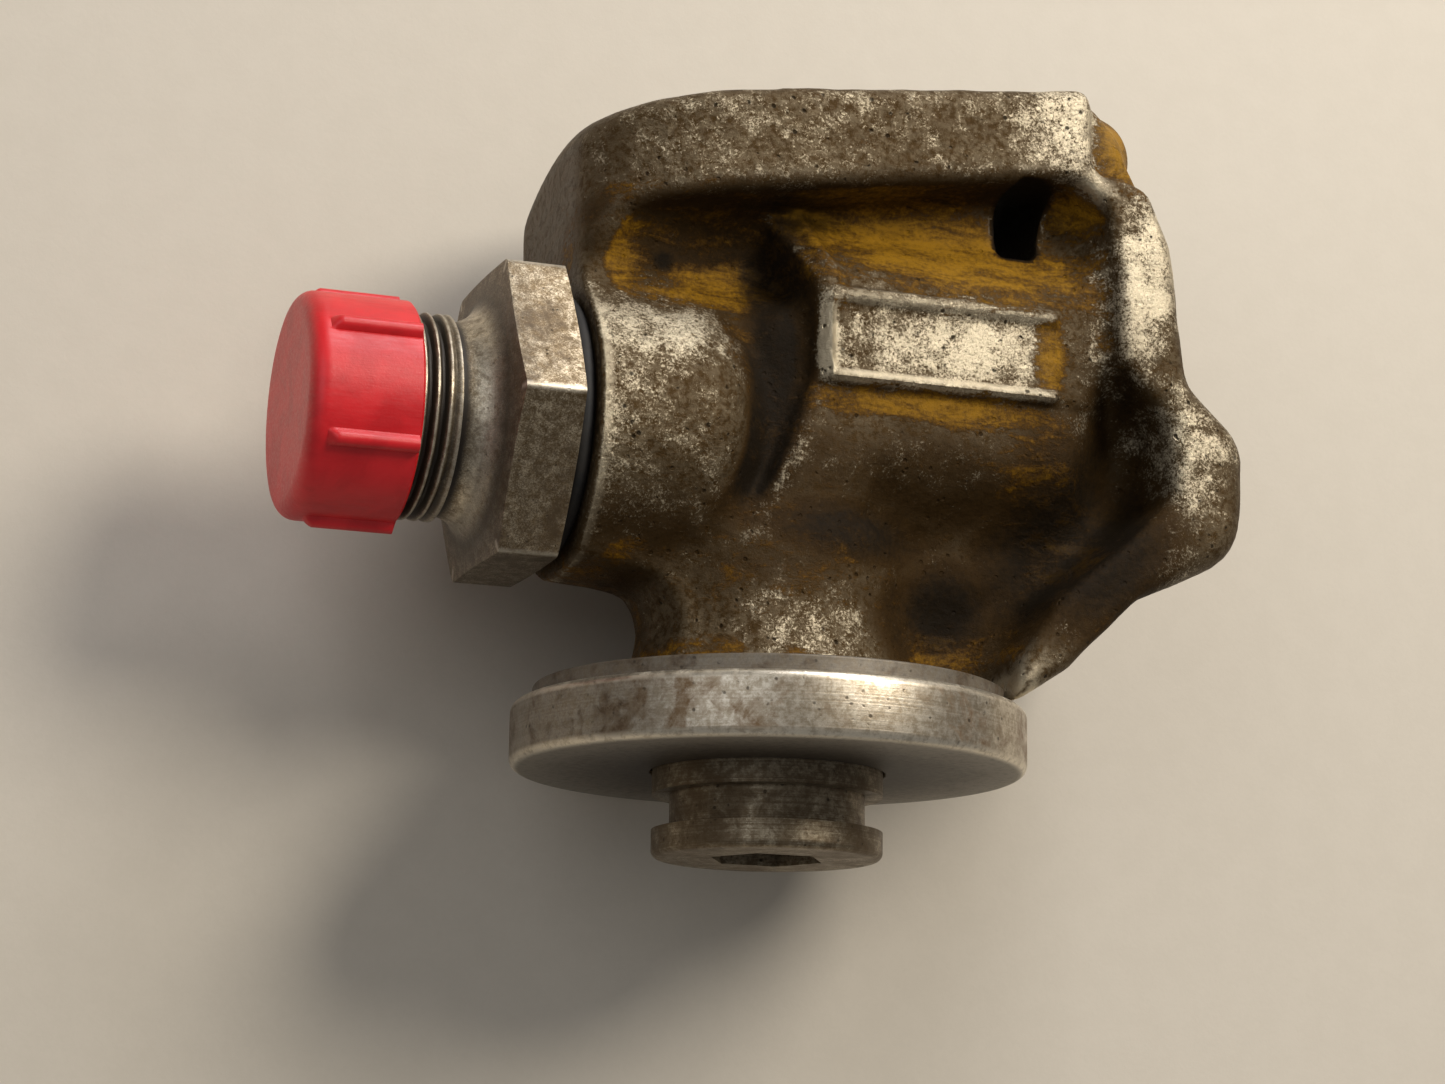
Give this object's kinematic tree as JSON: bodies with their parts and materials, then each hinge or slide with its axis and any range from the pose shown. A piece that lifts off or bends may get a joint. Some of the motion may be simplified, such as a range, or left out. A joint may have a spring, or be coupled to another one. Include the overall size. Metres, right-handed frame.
{
  "type": "cartridge valve",
  "caption": "Forged angle valve body with a screw-in relief cartridge, a clamped flange and a capped hose port adapter.",
  "frame": {"origin": "centre of the mounting pad's face, straight below the crossing of the cartridge axis and the hose port's axis", "axes": "+Z out of the mounting pad towards the forging's front, -Y along the cartridge out of its nose, -X along the hose port out of its cap"},
  "size_m": [0.1582, 0.1301, 0.0845],
  "materials": {
    "forged_steel": "worn bare forging with brown stains and ochre paint left in its recesses",
    "turned_steel": "turned, stained brown in patches",
    "adapter_steel": "worn plating with brown tarnish",
    "ground_steel": "hardened and ground",
    "spring_steel": "oil-blackened wire",
    "brass": "turned",
    "red_plastic": "soft moulded polyethylene, satin",
    "black_rubber": "moulded nitrile",
    "white_plastic": "turned PTFE"
  },
  "bodies": {
    "valve_body": {"body": "forged_steel", "cartridge_barrel": "turned_steel", "shoulder_seal": "black_rubber", "lower_seal": "black_rubber", "lower_backup_ring": "white_plastic", "upper_seal": "black_rubber", "upper_backup_ring": "white_plastic", "main_seat": "ground_steel", "main_spring": "spring_steel", "pilot_seat": "ground_steel", "pilot_spring": "spring_steel", "spring_button": "brass", "preload_shims": "ground_steel", "adjuster_screw": "turned_steel", "lock_ring": "turned_steel", "port_adapter": "adapter_steel", "adapter_seal": "black_rubber", "inlet_screen": "brass", "screen_clip": "spring_steel", "gallery_seal": "black_rubber", "drain_seal": "black_rubber"},
    "main_poppet": {"main_poppet": "ground_steel", "poppet_ring": "white_plastic"},
    "pilot_cone": {"pilot_cone": "ground_steel"},
    "dust_cap": {"thread_cap": "red_plastic"}
  },
  "joints": [
    {"name": "main_poppet_lift", "type": "slide", "parent": "valve_body", "child": "main_poppet", "axis": [0, 1, 0], "range_m": [0, 0.005], "stiffness_N_per_m": 1500, "springref_m": -0.002, "deforming": ["main_spring"]},
    {"name": "pilot_cone_lift", "type": "slide", "parent": "valve_body", "child": "pilot_cone", "axis": [0, 1, 0], "range_m": [0, 0.0015], "stiffness_N_per_m": 1500, "springref_m": -0.001, "deforming": ["pilot_spring"]},
    {"name": "dust_cap_pull", "type": "slide", "parent": "valve_body", "child": "dust_cap", "axis": [-1, 0, 0], "range_m": [0, 0.02]}
  ]
}
